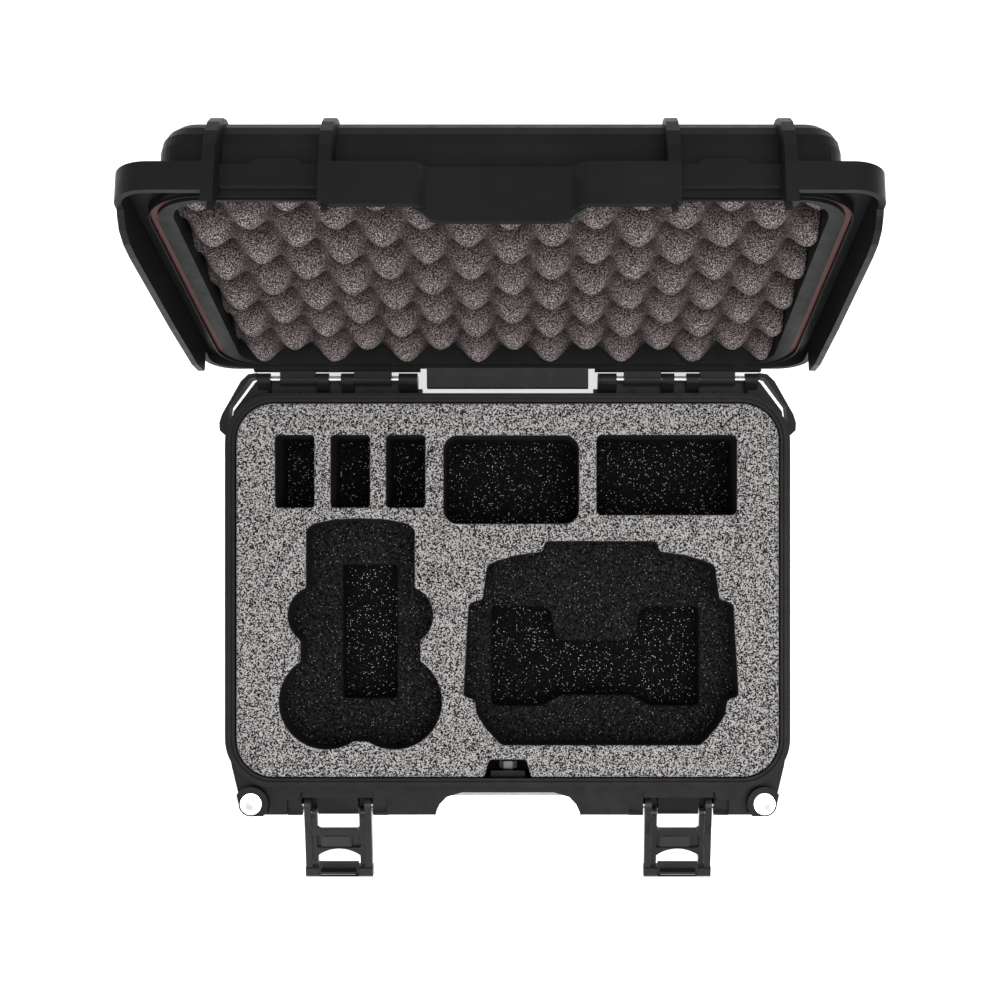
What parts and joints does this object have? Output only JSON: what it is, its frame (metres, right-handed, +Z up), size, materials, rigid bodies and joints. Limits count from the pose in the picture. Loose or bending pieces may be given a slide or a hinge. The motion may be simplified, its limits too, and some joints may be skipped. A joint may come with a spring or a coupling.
{
  "type": "hard carrying case for a drone",
  "caption": "Hard moulded case with a hinged lid, two claw latches and a carry handle, with cut foam for a folding drone, controller, batteries and charger.",
  "frame": {"origin": "middle of the base's underside", "axes": "+X to the right seen from the front, +Y towards the hinge, +Z up"},
  "size_m": [0.366, 0.4112, 0.3245],
  "materials": {
    "shell": "fine moulded texture, satin",
    "latch": "satin, worn edges",
    "slide": "satin",
    "foam_base": "closed-cell foam, speckled",
    "foam_deep": "closed-cell foam, black with bright cells",
    "foam_lid": "open-cell convoluted foam",
    "gasket": "smooth",
    "steel": "brushed",
    "eyelet": "polished",
    "grip": "soft overmould",
    "nut": "plain"
  },
  "bodies": {
    "base": {"base_shell": "shell", "base_foam_top": "foam_base", "base_foam_middle": "foam_deep", "base_foam_bottom": "foam_deep", "hinge_pin_left": "steel", "hinge_pin_right": "steel", "latch_base_pins_left": "steel", "latch_base_pins_right": "steel", "handle_pins": "steel", "padlock_eyelet_left": "eyelet", "padlock_eyelet_right": "eyelet", "valve_body": "shell", "valve_seal": "gasket", "valve_cap": "latch", "valve_nut": "nut"},
    "lid": {"lid_shell": "shell", "lid_foam": "foam_lid", "lid_gasket": "gasket"},
    "handle": {"handle_frame": "shell", "handle_grip": "grip"},
    "claw_left": {"latch_claw_left": "latch", "latch_lever_pins_left": "steel"},
    "lever_left": {"latch_lever_left": "latch"},
    "slide_left": {"latch_slide_left": "slide"},
    "claw_right": {"latch_claw_right": "latch", "latch_lever_pins_right": "steel"},
    "lever_right": {"latch_lever_right": "latch"},
    "slide_right": {"latch_slide_right": "slide"}
  },
  "joints": [
    {"name": "lid_hinge", "type": "hinge", "parent": "base", "child": "lid", "pos_m": [0, 0.13, 0.0597], "axis": [1, 0, 0], "range_deg": [0, 102.5]},
    {"name": "claw_left_swing", "type": "hinge", "parent": "base", "child": "claw_left", "pos_m": [-0.1065, -0.1345, 0.0413], "axis": [-1, 0, 0], "range_deg": [0, 104]},
    {"name": "lever_left_swing", "type": "hinge", "parent": "claw_left", "child": "lever_left", "pos_m": [-0.1065, -0.13935, 0.04009], "axis": [-1, 0, 0], "range_deg": [-26, 2]},
    {"name": "slide_left_lock", "type": "slide", "parent": "lever_left", "child": "slide_left", "axis": [1, 0, 0], "range_m": [0, 0.0035]},
    {"name": "claw_right_swing", "type": "hinge", "parent": "base", "child": "claw_right", "pos_m": [0.1065, -0.1345, 0.0413], "axis": [-1, 0, 0], "range_deg": [0, 104]},
    {"name": "lever_right_swing", "type": "hinge", "parent": "claw_right", "child": "lever_right", "pos_m": [0.1065, -0.13935, 0.04009], "axis": [-1, 0, 0], "range_deg": [-26, 2]},
    {"name": "slide_right_lock", "type": "slide", "parent": "lever_right", "child": "slide_right", "axis": [1, 0, 0], "range_m": [0, 0.0035]},
    {"name": "handle_swing", "type": "hinge", "parent": "base", "child": "handle", "pos_m": [0, -0.126, 0.038], "axis": [-1, 0, 0], "range_deg": [0, 90]}
  ]
}
